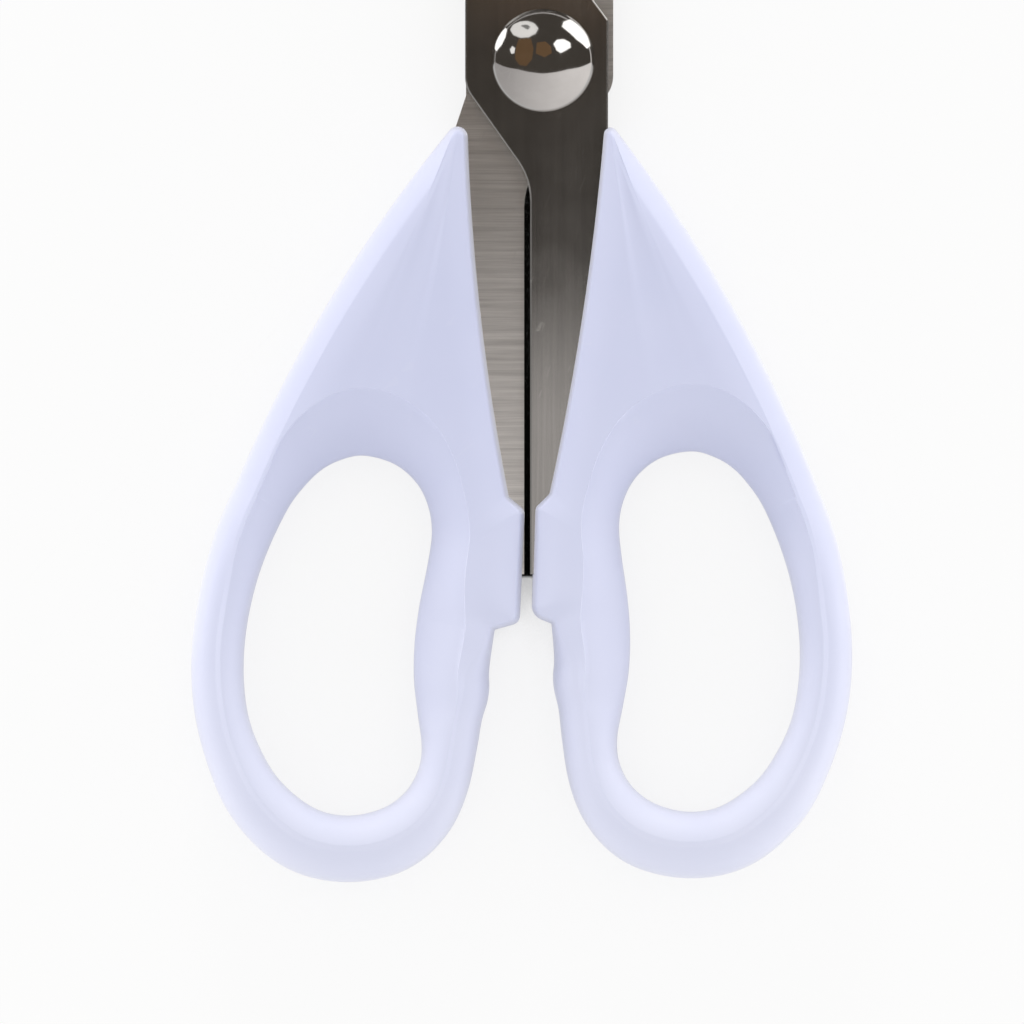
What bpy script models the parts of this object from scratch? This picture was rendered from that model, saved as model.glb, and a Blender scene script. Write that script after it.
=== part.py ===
"""Kitchen scissors lying on their back, opened by the small angle at which they are kept.

X = 0, Y = 0 is the pivot's axis, which runs along Z. The tips point along +Y and the finger
loops along -Y. Z = 0 is the rear face of the pivot pin. The front half (the blade on top and
the right-hand loop) hangs from an empty on the axis, and turns about it against the rear half.
All sizes are in metres.
"""

import math
from collections import namedtuple

import bmesh
import bpy
import numpy as np

# Clearances and the stack along the pivot's axis
FIT_GAP = 0.0003
PIN_HEAD_THICKNESS = 0.0010
BLADE_THICKNESS = 0.0020

# Blades, from the pivot's axis
BLADE_REACH = 0.1060
FRONT_BACK_OUT = 0.0103
REAR_BACK_OUT = 0.0093
FRONT_HEEL_OUT = 0.0086
REAR_HEEL_OUT = 0.0102
FRONT_HEEL_DOWN = 0.0089
REAR_HEEL_DOWN = 0.0046
HEEL_RISE = 0.0054
HEEL_SLANT_RISE = 0.0027
HEEL_SLANT_IN = 0.0020
HEEL_RADIUS = 0.0008
TIP_LINE_LEFT = 0.0005
TIP_SPREAD = 0.0006
TIP_ROUND = 0.0004
SPINE_TAPER_LENGTH = 0.0420
SPINE_TAPER_POWER = 1.5
GRIND_WIDTH = 0.0080
GRIND_RUNOUT = 0.0060
GRIND_FOOT_THICKNESS = 0.0010
SHARP_WIDTH = 0.0008
SHARP_THICKNESS = 0.00015
EDGE_CHAMFER = 0.0002

# Tangs: the free edge faces the other half, the seated edge lies inside the handle
FRONT_TANG_EDGE = -0.0017
REAR_TANG_EDGE = 0.0025
TANG_LENGTH = 0.0680
FRONT_SEAT_DEPTH = 0.0033
REAR_SEAT_DEPTH = 0.0048
SEAT_TOP_DOWN = 0.0105
NECK_START = 0.0036
NECK_END = 0.0157
NECK_START_RADIUS = 0.0040
NECK_END_RADIUS = 0.0090
TANG_CORNER_RADIUS = 0.0020

# Finger loops, in each half's own frame: u outwards from the middle line, v towards the tips
LOOP_LINE_LEFT = 0.00055
LOOP_LINE_LEAN = math.radians(1.635)
LOOP_STAGGER = 0.0009
HANDLE_THICKNESS = 0.0100
HOLE_LENGTH = 0.0477
HOLE_WIDTH = 0.0244
HOLE_CENTRE_OUT = 0.0246
HOLE_CENTRE_DOWN = 0.0759
SHOULDER_WALL = 0.0076
SIDE_WALL = 0.0070
END_WALL = 0.0089
CORNER_WALL = 0.0071
PALM_WALL = 0.0100
NUB_WALL = 0.0104
SCOOP_WIDTH = 0.0090
PALM_REST_WIDTH = 0.0051
EDGE_ROUND = 0.0008
CROWN_WIDTH = 0.0042
INNER_CROWN_DROP = 0.00045
FLANK_CROWN_DROP = 0.00018
FRONT_INNER_BOW = 0.0008
REAR_INNER_BOW = 0.0010
OUTER_BOW = 0.0020
FRONT_SHOULDER_OUT = 0.0091
REAR_SHOULDER_OUT = 0.0097
FRONT_SHOULDER_DOWN = 0.0074
REAR_SHOULDER_DOWN = 0.0052
FRONT_SHOULDER_RADIUS = 0.0010
REAR_SHOULDER_RADIUS = 0.0014
FRONT_NUB_ROOT_OUT = 0.0029
REAR_NUB_ROOT_OUT = 0.0023
FRONT_NUB_ROOT_DOWN = 0.0582
REAR_NUB_ROOT_DOWN = 0.0570
FRONT_NUB_TOP_OUT = 0.0011
REAR_NUB_TOP_OUT = 0.00015
FRONT_NUB_TOP_DOWN = 0.0600
REAR_NUB_TOP_DOWN = 0.0586
FRONT_NUB_END_OUT = 0.0011
REAR_NUB_END_OUT = 0.0004
FRONT_NUB_END_DOWN = 0.0744
REAR_NUB_END_DOWN = 0.0736
NUB_TOP_RADIUS = 0.0013
FRONT_NUB_END_RADIUS = 0.0020
REAR_NUB_END_RADIUS = 0.0013

# Pivot: a headed bush from the front, a pin pressed into it from the back, a washer and a cap
CAP_RADIUS = 0.00675
CAP_HEIGHT = 0.0030
CAP_WALL = 0.0005
BUSH_RADIUS = 0.0026
BUSH_BORE_RADIUS = 0.0017
BUSH_HEAD_THICKNESS = 0.0007
WASHER_RADIUS = 0.0052
WASHER_THICKNESS = 0.0003
PIN_HEAD_RADIUS = 0.0046
PIN_HEAD_CHAMFER = 0.0003
PIN_DEPTH = 0.0040

# Facets
HOLE_STEPS = 6
RING_SECTIONS = 42
NUB_CORNER_SECTIONS = 4
NUB_RUN_SECTIONS = 3
INNER_EDGE_SECTIONS = 9
SHOULDER_SECTIONS = 6
FLANK_SECTIONS = 12
FLANK_RAMP_SECTIONS = 3
FILLET_STEPS = 6
TAPER_STEPS = 14
TAPER_CROWDING = 1.5
ROUND_SEGMENTS = 40
CAP_RINGS = 8
SMOOTH_ANGLE = math.radians(30)

# Shares round the hole's edge, clockwise from its top, at which the rim's runs meet
RING_START_SHARE = 0.115
RING_END_SHARE = 0.772
REAR_RING_END_SHARE = 0.780
NUB_END_SHARE = 0.870
INNER_END_SHARE = 0.975
SHOULDER_END_SHARE = 1.005

# Round the ring: the places where its wall is set, and the shares of the wall that the scoop
# on the hole's side and the flank on the rim's side take there
WALL_PLACE_SHARES = (RING_START_SHARE, 0.24, 0.34, 0.49, 0.54, 0.62, 0.70, RING_END_SHARE)
SCOOP_WALL_SHARES = (0.58, 0.465, 0.465, 0.465, 0.465, 0.49, 0.58, 0.63)
FLANK_WALL_SHARES = (0.365, 0.435, 0.435, 0.44, 0.44, 0.42, 0.33, 0.10)

# Along the shank: the places where the scoop's width is set, and the most of its room it takes
SCOOP_PLACE_SHARES = (RING_END_SHARE, 0.85, 0.90, 1.0, 1 + RING_START_SHARE)
SCOOP_ROOM_SHARE = 0.88

# Round the hole's edge: the places where the drop of the crowned face to the ridge is set, the
# shares of the crown's width at which the face has a ring, the most of the face's width that the
# crown takes, and how square to the rim the face is measured at the least
CROWN_PLACE_SHARES = (RING_START_SHARE, 0.25, INNER_END_SHARE, SHOULDER_END_SHARE, 1 + RING_START_SHARE)
CROWN_DROPS = (FLANK_CROWN_DROP, INNER_CROWN_DROP, INNER_CROWN_DROP, FLANK_CROWN_DROP, FLANK_CROWN_DROP)
CROWN_RING_SHARES = (1.0, 0.4)
CROWN_ROOM_SHARE = 0.8
CROWN_SQUARE_SHARE = 0.15

# Outline of the finger hole, in shares of its width and length from its centre, clockwise
HOLE_SHARES = (
    (-0.127, 0.499), (-0.004, 0.487), (0.111, 0.455), (0.213, 0.400), (0.290, 0.340),
    (0.383, 0.233), (0.451, 0.122), (0.492, 0.000), (0.498, -0.117), (0.467, -0.230),
    (0.393, -0.325), (0.280, -0.411), (0.098, -0.481), (-0.082, -0.500), (-0.262, -0.480),
    (-0.390, -0.434), (-0.462, -0.369), (-0.477, -0.300), (-0.451, -0.215), (-0.424, -0.117),
    (-0.422, -0.013), (-0.443, 0.092), (-0.480, 0.200), (-0.499, 0.290), (-0.476, 0.363),
    (-0.410, 0.427), (-0.290, 0.477),
)

# Rounding of a handle's section from its flat face to its rim: (share outwards, share of height)
FLANK_SHARES = ((0.45, 0.83), (0.80, 0.55), (0.96, 0.24))
SCOOP_SHARES = ((0.28, 0.93), (0.56, 0.78), (0.82, 0.52), (0.96, 0.24))

# Levels along Z, from the rear face of the pivot pin
REAR_BLADE_LEVEL = PIN_HEAD_THICKNESS + FIT_GAP
FRONT_BLADE_LEVEL = REAR_BLADE_LEVEL + BLADE_THICKNESS + FIT_GAP
MIDDLE_LEVEL = FRONT_BLADE_LEVEL - FIT_GAP / 2
CAP_LEVEL = FRONT_BLADE_LEVEL + BLADE_THICKNESS + FIT_GAP
WASHER_LEVEL = CAP_LEVEL
BUSH_HEAD_LEVEL = WASHER_LEVEL + WASHER_THICKNESS + FIT_GAP

Half = namedtuple(
    "Half",
    "side level back_out heel_out heel_down tang_edge seat_depth "
    "shoulder_out shoulder_down shoulder_radius inner_bow "
    "nub_root_out nub_root_down nub_top_out nub_top_down nub_end_out nub_end_down nub_end_radius "
    "ring_end_share",
)
FRONT = Half(
    1, FRONT_BLADE_LEVEL, FRONT_BACK_OUT, FRONT_HEEL_OUT, FRONT_HEEL_DOWN,
    FRONT_TANG_EDGE, FRONT_SEAT_DEPTH,
    FRONT_SHOULDER_OUT, FRONT_SHOULDER_DOWN, FRONT_SHOULDER_RADIUS, FRONT_INNER_BOW,
    FRONT_NUB_ROOT_OUT, FRONT_NUB_ROOT_DOWN, FRONT_NUB_TOP_OUT, FRONT_NUB_TOP_DOWN,
    FRONT_NUB_END_OUT, FRONT_NUB_END_DOWN, FRONT_NUB_END_RADIUS, RING_END_SHARE,
)
REAR = Half(
    -1, REAR_BLADE_LEVEL, REAR_BACK_OUT, REAR_HEEL_OUT, REAR_HEEL_DOWN,
    REAR_TANG_EDGE, REAR_SEAT_DEPTH,
    REAR_SHOULDER_OUT, REAR_SHOULDER_DOWN, REAR_SHOULDER_RADIUS, REAR_INNER_BOW,
    REAR_NUB_ROOT_OUT, REAR_NUB_ROOT_DOWN, REAR_NUB_TOP_OUT, REAR_NUB_TOP_DOWN,
    REAR_NUB_END_OUT, REAR_NUB_END_DOWN, REAR_NUB_END_RADIUS, REAR_RING_END_SHARE,
)


def clear_scene():
    for obj in list(bpy.data.objects):
        bpy.data.objects.remove(obj, do_unlink=True)


def finish(name, colour, roughness, metallic):
    """A plain surface finish."""
    material = bpy.data.materials.new(name)
    material.use_nodes = True
    shader = material.node_tree.nodes["Principled BSDF"]
    shader.inputs["Base Color"].default_value = (*colour, 1)
    shader.inputs["Roughness"].default_value = roughness
    shader.inputs["Metallic"].default_value = metallic
    return material


def ground_steel():
    return finish("ground_steel", (0.56, 0.54, 0.50), 0.35, 1)


def polished_steel():
    return finish("polished_steel", (0.75, 0.74, 0.72), 0.06, 1)


def plain_steel():
    return finish("plain_steel", (0.50, 0.49, 0.47), 0.30, 1)


def lavender_plastic():
    return finish("lavender_plastic", (0.60, 0.63, 0.81), 0.40, 0)


def add_object(name, bm, material, parent=None, smooth_angle=None):
    """An object made of a bmesh, with its faces turned outwards."""
    bmesh.ops.recalc_face_normals(bm, faces=bm.faces)
    mesh = bpy.data.meshes.new(name)
    bm.to_mesh(mesh)
    bm.free()
    mesh.materials.append(material)
    if smooth_angle is not None:
        mesh.shade_smooth()
        mesh.set_sharp_from_angle(angle=smooth_angle)
    obj = bpy.data.objects.new(name, mesh)
    bpy.context.scene.collection.objects.link(obj)
    obj.parent = parent
    return obj


def make_cutter(obj, target):
    """Hides an object and cuts it out of the target."""
    obj.hide_render = True
    obj.display_type = "WIRE"
    cut = target.modifiers.new(obj.name, "BOOLEAN")
    cut.operation = "DIFFERENCE"
    cut.solver = "EXACT"
    cut.object = obj


def smooth_loop(points, steps):
    """A closed curve through the points, with this many steps between each pair of them."""
    before, after = np.roll(points, 1, axis=0), np.roll(points, -1, axis=0)
    slope = (after - before) / 2
    end, end_slope = after, np.roll(slope, -1, axis=0)
    curve = []
    for step in range(steps):
        t = step / steps
        start_weight = 2 * t**3 - 3 * t**2 + 1
        curve.append(
            start_weight * points + (t**3 - 2 * t**2 + t) * slope
            + (1 - start_weight) * end + (t**3 - t**2) * end_slope
        )
    return np.stack(curve, axis=1).reshape(-1, 2)


def outward(points):
    """The unit normals of a closed clockwise line of points, away from what it encloses."""
    along = np.roll(points, -1, axis=0) - points
    along /= np.linalg.norm(along, axis=1)[:, None]
    along = along + np.roll(along, 1, axis=0)
    along /= np.linalg.norm(along, axis=1)[:, None]
    return np.stack([-along[:, 1], along[:, 0]], axis=1)


def walk(curve, shares):
    """Points and outward normals at these shares of the way round a closed clockwise curve."""
    closed = np.vstack([curve, curve[:1]])
    lengths = np.linalg.norm(np.diff(closed, axis=0), axis=1)
    travelled = np.concatenate([[0], np.cumsum(lengths)]) / lengths.sum()
    normals = outward(curve)
    normals = np.vstack([normals, normals[:1]])
    wrapped = np.mod(shares, 1)
    at = [np.interp(wrapped, travelled, closed[:, axis]) for axis in (0, 1)]
    facing = [np.interp(wrapped, travelled, normals[:, axis]) for axis in (0, 1)]
    facing = np.stack(facing, axis=1)
    return np.stack(at, axis=1), facing / np.linalg.norm(facing, axis=1)[:, None]


def ease(places, values, wanted):
    """Values that pass smoothly from one place to the next."""
    wanted = np.asarray(wanted, float)
    index = np.clip(np.searchsorted(places, wanted, side="right") - 1, 0, len(places) - 2)
    places, values = np.asarray(places), np.asarray(values)
    t = np.clip((wanted - places[index]) / (places[index + 1] - places[index]), 0, 1)
    return values[index] + (values[index + 1] - values[index]) * t * t * (3 - 2 * t)


def bowed_line(start, end, bow, count):
    """Points of a slightly bowed line, without its last, the bow to the left of its way."""
    start, end = np.asarray(start), np.asarray(end)
    along = end - start
    left = np.array([-along[1], along[0]]) / np.linalg.norm(along)
    t = np.arange(count)[:, None] / count
    return start + along * t + left * bow * 4 * t * (1 - t)


def round_corner(before, corner, after, radius, count):
    """Points of the arc that rounds off a corner, its two ends included."""
    before, corner, after = (np.asarray(point, float) for point in (before, corner, after))
    arm_in = (before - corner) / np.linalg.norm(before - corner)
    arm_out = (after - corner) / np.linalg.norm(after - corner)
    half_angle = math.acos(np.clip(arm_in @ arm_out, -1, 1)) / 2
    reach = radius / math.tan(half_angle)
    middle = arm_in + arm_out
    centre = corner + middle / np.linalg.norm(middle) * radius / math.sin(half_angle)
    first, last = corner + arm_in * reach - centre, corner + arm_out * reach - centre
    turn = math.atan2(first[0] * last[1] - first[1] * last[0], first @ last)
    points = []
    for step in range(count + 1):
        angle = turn * step / count
        cos, sin = math.cos(angle), math.sin(angle)
        points.append(centre + (cos * first[0] - sin * first[1], sin * first[0] + cos * first[1]))
    return points


def place(half, points):
    """Points of a half's own loop frame, in the plan of the whole scissors."""
    points = np.atleast_2d(points)
    x = half.side * points[:, 0]
    y = points[:, 1] + half.side * LOOP_STAGGER
    cos, sin = math.cos(LOOP_LINE_LEAN), math.sin(LOOP_LINE_LEAN)
    return np.stack([x * cos + y * sin - LOOP_LINE_LEFT, y * cos - x * sin], axis=1)


def hole_curve():
    centre = np.array([HOLE_CENTRE_OUT, -HOLE_CENTRE_DOWN])
    return smooth_loop(centre + np.array(HOLE_SHARES) * (HOLE_WIDTH, HOLE_LENGTH), HOLE_STEPS)


def shoulder_corner(half):
    return np.array([half.shoulder_out, -half.shoulder_down])


def nub_root(half):
    return np.array([half.nub_root_out, -half.nub_root_down])


def shank_corner_arc(half, ring_start):
    """The rounded nose of the shoulder, from the inner edge to the outer flank."""
    return round_corner(
        nub_root(half), shoulder_corner(half), ring_start, half.shoulder_radius, SHOULDER_SECTIONS
    )


def nub_points(half, ring_end):
    """The nub's outline, from the ring's palm side up to the root of the inner edge."""
    low = np.array([half.nub_end_out, -half.nub_end_down])
    high = np.array([half.nub_top_out, -half.nub_top_down])
    low_arc = round_corner(ring_end, low, high, half.nub_end_radius, NUB_CORNER_SECTIONS)
    high_arc = round_corner(low, high, nub_root(half), NUB_TOP_RADIUS, NUB_CORNER_SECTIONS)
    return [
        *bowed_line(ring_end, low_arc[0], 0, NUB_RUN_SECTIONS)[1:],
        *low_arc,
        *bowed_line(low_arc[-1], high_arc[0], 0, NUB_RUN_SECTIONS)[1:],
        *high_arc,
    ]


def spread(start, end, count):
    """The middles of equal steps from start to end."""
    return start + (end - start) * (np.arange(count) + 1 / 2) / count


def handle_guides(half):
    """Matched points of the guide lines hole, crest, ridge and rim, and their shares round it."""
    curve = hole_curve()
    ring = np.linspace(RING_START_SHARE, half.ring_end_share, RING_SECTIONS)
    walls = (
        SHOULDER_WALL, SIDE_WALL, SIDE_WALL, END_WALL, END_WALL, CORNER_WALL, PALM_WALL, NUB_WALL
    )
    wall = ease(WALL_PLACE_SHARES, walls, ring)
    scoop = ease(WALL_PLACE_SHARES, SCOOP_WALL_SHARES, ring) * wall
    slope = ease(WALL_PLACE_SHARES, FLANK_WALL_SHARES, ring) * wall
    ring_hole, ring_facing = walk(curve, ring)
    ring_rim = ring_hole + ring_facing * wall[:, None]

    nub = nub_points(half, ring_rim[-1])
    nose = shank_corner_arc(half, ring_rim[0])
    inner_edge = bowed_line(nub_root(half), nose[0], -half.inner_bow, INNER_EDGE_SECTIONS)
    flank = bowed_line(nose[-1], ring_rim[0], OUTER_BOW, FLANK_SECTIONS)[1:]
    runs = (
        (half.ring_end_share, NUB_END_SHARE, nub),
        (NUB_END_SHARE, INNER_END_SHARE, inner_edge),
        (INNER_END_SHARE, SHOULDER_END_SHARE, nose),
        (SHOULDER_END_SHARE, 1 + RING_START_SHARE, flank),
    )
    shares = np.concatenate([spread(start, end, len(run)) for start, end, run in runs])
    shank_hole, shank_facing = walk(curve, shares)
    scoops = (scoop[-1], PALM_REST_WIDTH, PALM_REST_WIDTH, SCOOP_WIDTH, scoop[0])
    shank_slope = np.full(len(shares), EDGE_ROUND)
    ramp = (0, FLANK_RAMP_SECTIONS)
    shank_slope[-len(flank):] = ease(ramp, (EDGE_ROUND, slope[0]), np.arange(len(flank)))

    hole = np.vstack([ring_hole, shank_hole])
    facing = np.vstack([ring_facing, shank_facing])
    rim = np.vstack([ring_rim, nub, inner_edge, nose, flank])
    scoop = np.concatenate([scoop, ease(SCOOP_PLACE_SHARES, scoops, shares)])
    slope = np.concatenate([slope, shank_slope])
    ridge = rim - outward(rim) * slope[:, None]
    room = SCOOP_ROOM_SHARE * np.linalg.norm(ridge - hole, axis=1)
    crest = hole + facing * np.minimum(scoop, room)[:, None]
    return hole, crest, ridge, rim, np.concatenate([ring, shares])


def crowned_face(crest, ridge, rim, shares):
    """Rings of the face from the crest to the ridge, as points and how far they lie below it."""
    across = crest - ridge
    width = np.linalg.norm(across, axis=1)
    square = np.maximum(-np.sum(across * outward(rim), axis=1) / width, CROWN_SQUARE_SHARE)
    run = np.minimum(CROWN_WIDTH / square, CROWN_ROOM_SHARE * width)
    drop = ease(CROWN_PLACE_SHARES, CROWN_DROPS, shares) * (run * square / CROWN_WIDTH) ** 2
    rings = [(crest, 0 * drop)]
    for share in CROWN_RING_SHARES:
        rings.append((ridge + across * (share * run / width)[:, None], drop * (1 - share) ** 2))
    return [*rings, (ridge, drop)]


def loft(bm, loops):
    """A closed tube of quads through closed loops of points, the last joined to the first."""
    rows = [[bm.verts.new(point) for point in loop] for loop in loops]
    for row, following in zip(rows, rows[1:] + rows[:1]):
        for index in range(len(row)):
            other = (index + 1) % len(row)
            bm.faces.new((row[index], row[other], following[other], following[index]))


def raised(half, points, heights):
    """Points of a half's loop frame at their heights over the handle's middle level."""
    return [(x, y, MIDDLE_LEVEL + height) for (x, y), height in zip(place(half, points), heights)]


def handle_loops(half):
    """Loops round the finger hole, from its edge over the top to the rim and back below."""
    hole, crest, ridge, rim, shares = handle_guides(half)
    rise = np.full(len(hole), HANDLE_THICKNESS / 2)
    top = [(crest + (hole - crest) * out, rise * height) for out, height in reversed(SCOOP_SHARES)]
    top += [(points, rise - drop) for points, drop in crowned_face(crest, ridge, rim, shares)]
    ridge_rise = top[-1][1]
    top += [(ridge + (rim - ridge) * out, ridge_rise * height) for out, height in FLANK_SHARES]
    upper = [raised(half, points, heights) for points, heights in top]
    lower = [raised(half, points, -heights) for points, heights in reversed(top)]
    return [raised(half, hole, 0 * rise), *upper, raised(half, rim, 0 * rise), *lower]


def build_handle(half, name, material, parent):
    bm = bmesh.new()
    loft(bm, handle_loops(half))
    handle = add_object(name, bm, material, parent, SMOOTH_ANGLE)
    pocket = build_prism(
        tang_pocket_outline(half), half.level - FIT_GAP, half.level + BLADE_THICKNESS + FIT_GAP
    )
    make_cutter(add_object(name + "_pocket", pocket, material, parent), handle)
    return handle


def build_prism(outline, bottom, top):
    """A flat plate of the outline's shape, as a bmesh."""
    bm = bmesh.new()
    face = bm.faces.new([bm.verts.new((x, y, bottom)) for x, y in outline])
    raised = bmesh.ops.extrude_face_region(bm, geom=[face])["geom"]
    lifted = [part for part in raised if isinstance(part, bmesh.types.BMVert)]
    bmesh.ops.translate(bm, verts=lifted, vec=(0, 0, top - bottom))
    return bm


def tang_outline(half, gap):
    """The tang's corners in plan from its free edge round its end to the heel, grown by a gap."""
    corner, root = shoulder_corner(half), nub_root(half)
    upper = corner + (root - corner) * SEAT_TOP_DOWN / np.linalg.norm(root - corner)
    depth = half.seat_depth + gap
    upper, lower = place(half, [upper + (depth, 0), root + (depth, 0)])
    free = half.side * (half.tang_edge - gap)
    heel = half.side * (half.heel_out + gap)
    end = -(TANG_LENGTH + gap)
    return [(free, end), (lower[0], end), tuple(lower), tuple(upper), (heel, -half.heel_down)]


def blade_outline(half):
    """The blade and its tang in plan, from the tip down the spine and back up the edge."""
    side = half.side
    tip = np.array([-TIP_LINE_LEFT - side * TIP_SPREAD, BLADE_REACH])
    spine = -side * half.back_out
    heel = side * half.heel_out
    edge_start = (heel - side * HEEL_SLANT_IN, HEEL_RISE + HEEL_SLANT_RISE)
    (free, end), tang_corner, lower, upper, heel_low = tang_outline(half, 0)

    points = []
    for step in range(TAPER_STEPS + 1):
        share = (step / TAPER_STEPS) ** TAPER_CROWDING
        out = 1 - (1 - share) ** SPINE_TAPER_POWER
        points.append((tip[0] + (spine - tip[0]) * out, tip[1] - SPINE_TAPER_LENGTH * share))
    neck_start, neck_end = (spine, -NECK_START), (free, -NECK_END)
    points += round_corner(points[-1], neck_start, neck_end, NECK_START_RADIUS, FILLET_STEPS)
    points += round_corner(neck_start, neck_end, (free, end), NECK_END_RADIUS, FILLET_STEPS)
    points += [(free, end)]
    points += round_corner((free, end), tang_corner, lower, TANG_CORNER_RADIUS, FILLET_STEPS)
    points += [lower, upper, heel_low]
    heel_high = (heel, HEEL_RISE)
    points += round_corner(heel_low, heel_high, edge_start, HEEL_RADIUS, FILLET_STEPS)
    points += round_corner(heel_high, edge_start, tip, HEEL_RADIUS, FILLET_STEPS)
    points += [tip + (side * TIP_ROUND, -TIP_ROUND)]
    return points


def tang_pocket_outline(half):
    """What the tang takes out of the handle, open towards the other half and the pivot."""
    corners = tang_outline(half, FIT_GAP)
    return [*corners, (corners[-1][0], 0), (corners[0][0], 0)]


def grind_cutter(half):
    """The wedge that thins the blade's outer face towards its cutting edge, as a bmesh."""
    side = half.side
    start = np.array([side * (half.heel_out - HEEL_SLANT_IN), HEEL_RISE + HEEL_SLANT_RISE])
    tip = np.array([-TIP_LINE_LEFT - side * TIP_SPREAD, BLADE_REACH])
    along = (tip - start) / np.linalg.norm(tip - start)
    inward = np.array([-side * along[1], side * along[0]])
    overrun = GRIND_WIDTH
    section = (
        (-overrun, SHARP_THICKNESS),
        (0, SHARP_THICKNESS),
        (SHARP_WIDTH, GRIND_FOOT_THICKNESS),
        (GRIND_WIDTH, BLADE_THICKNESS),
        (GRIND_WIDTH, BLADE_THICKNESS + overrun),
        (-overrun, BLADE_THICKNESS + overrun),
    )
    above = BLADE_THICKNESS + EDGE_CHAMFER
    stations = ((start, above), (start + along * GRIND_RUNOUT, 0), (tip + along * overrun, 0))
    bm = bmesh.new()
    rows = []
    for base, floor in stations:
        row = []
        for depth, height in section:
            spot = base + inward * depth
            level = max(height, floor)
            level = level if side > 0 else BLADE_THICKNESS - level
            row.append(bm.verts.new((spot[0], spot[1], half.level + level)))
        rows.append(row)
    for row, following in zip(rows, rows[1:]):
        for index in range(len(section)):
            other = (index + 1) % len(section)
            bm.faces.new((row[index], row[other], following[other], following[index]))
    bm.faces.new(rows[0])
    bm.faces.new(rows[-1])
    return bm


def chamfer_outer_face(bm, height):
    """Breaks the edges round the flat face that lies at this height."""
    bm.normal_update()
    tolerance = EDGE_CHAMFER / 10
    edges = [edge for edge in bm.edges if all(abs(v.co.z - height) < tolerance for v in edge.verts)]
    bmesh.ops.bevel(bm, geom=edges, offset=EDGE_CHAMFER, segments=1, affect="EDGES", clamp_overlap=True)


def turned(profile, segments, name, material, parent=None):
    """A round piece about the pivot's axis, from a profile of (radius, height) points."""
    bm = bmesh.new()
    rows = []
    for radius, height in profile:
        if radius == 0:
            rows.append([bm.verts.new((0, 0, height))])
            continue
        angles = [2 * math.pi * step / segments for step in range(segments)]
        rows.append([bm.verts.new((radius * math.cos(a), radius * math.sin(a), height)) for a in angles])
    closed = profile[0][0] > 0
    for row, following in zip(rows, rows[1:] + (rows[:1] if closed else [])):
        for index in range(segments):
            other = (index + 1) % segments
            corners = [row[index % len(row)], row[other % len(row)]]
            corners += [following[other % len(following)], following[index % len(following)]]
            bm.faces.new(list(dict.fromkeys(corners)))
    return add_object(name, bm, material, parent, SMOOTH_ANGLE)


def build_blade(half, name, material, parent):
    bottom, top = half.level, half.level + BLADE_THICKNESS
    bm = build_prism(blade_outline(half), bottom, top)
    chamfer_outer_face(bm, top if half.side > 0 else bottom)
    blade = add_object(name, bm, material, parent)
    make_cutter(add_object(name + "_grind", grind_cutter(half), material, parent), blade)
    bore_radius = BUSH_RADIUS + FIT_GAP
    profile = [(0, bottom - BLADE_THICKNESS), (bore_radius, bottom - BLADE_THICKNESS)]
    profile += [(bore_radius, top + BLADE_THICKNESS), (0, top + BLADE_THICKNESS)]
    make_cutter(turned(profile, ROUND_SEGMENTS, name + "_bore", material, parent), blade)
    return blade


def cap_spheres():
    """The radius of the cap's outer and inner face, and the height of their common centre."""
    outer_sphere = (CAP_RADIUS**2 + CAP_HEIGHT**2) / (2 * CAP_HEIGHT)
    return outer_sphere, outer_sphere - CAP_WALL, CAP_LEVEL + CAP_HEIGHT - outer_sphere


def build_cap(material):
    """The pressed cap: a thin dome, open below."""
    outer_sphere, inner_sphere, centre = cap_spheres()
    outer_swing = math.asin(CAP_RADIUS / outer_sphere)
    inner_swing = math.acos((CAP_LEVEL - centre) / inner_sphere)
    outer, inner = [], []
    for step in range(CAP_RINGS + 1):
        angle = outer_swing * step / CAP_RINGS
        outer.append((outer_sphere * math.sin(angle), centre + outer_sphere * math.cos(angle)))
        angle = inner_swing * step / CAP_RINGS
        inner.append((inner_sphere * math.sin(angle), centre + inner_sphere * math.cos(angle)))
    return turned(outer + inner[::-1], ROUND_SEGMENTS, "pivot_cap", material)


def build_washer(material):
    inner = BUSH_RADIUS + FIT_GAP
    top = WASHER_LEVEL + WASHER_THICKNESS
    profile = [(WASHER_RADIUS, WASHER_LEVEL), (WASHER_RADIUS, top), (inner, top), (inner, WASHER_LEVEL)]
    return turned(profile, ROUND_SEGMENTS, "pivot_washer", material)


def build_bush(material):
    """The bush: a round head over the washer, and a hollow shank through both blades."""
    head_top = BUSH_HEAD_LEVEL + BUSH_HEAD_THICKNESS
    _, inner_sphere, centre = cap_spheres()
    head_radius = math.sqrt((inner_sphere - FIT_GAP) ** 2 - (head_top - centre) ** 2)
    foot = REAR_BLADE_LEVEL
    bore_end = foot + PIN_DEPTH + FIT_GAP
    profile = [
        (0, head_top),
        (head_radius, head_top),
        (head_radius, BUSH_HEAD_LEVEL),
        (BUSH_RADIUS, BUSH_HEAD_LEVEL),
        (BUSH_RADIUS, foot),
        (BUSH_BORE_RADIUS, foot),
        (BUSH_BORE_RADIUS, bore_end),
        (0, bore_end),
    ]
    return turned(profile, ROUND_SEGMENTS, "pivot_bush", material)


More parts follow.
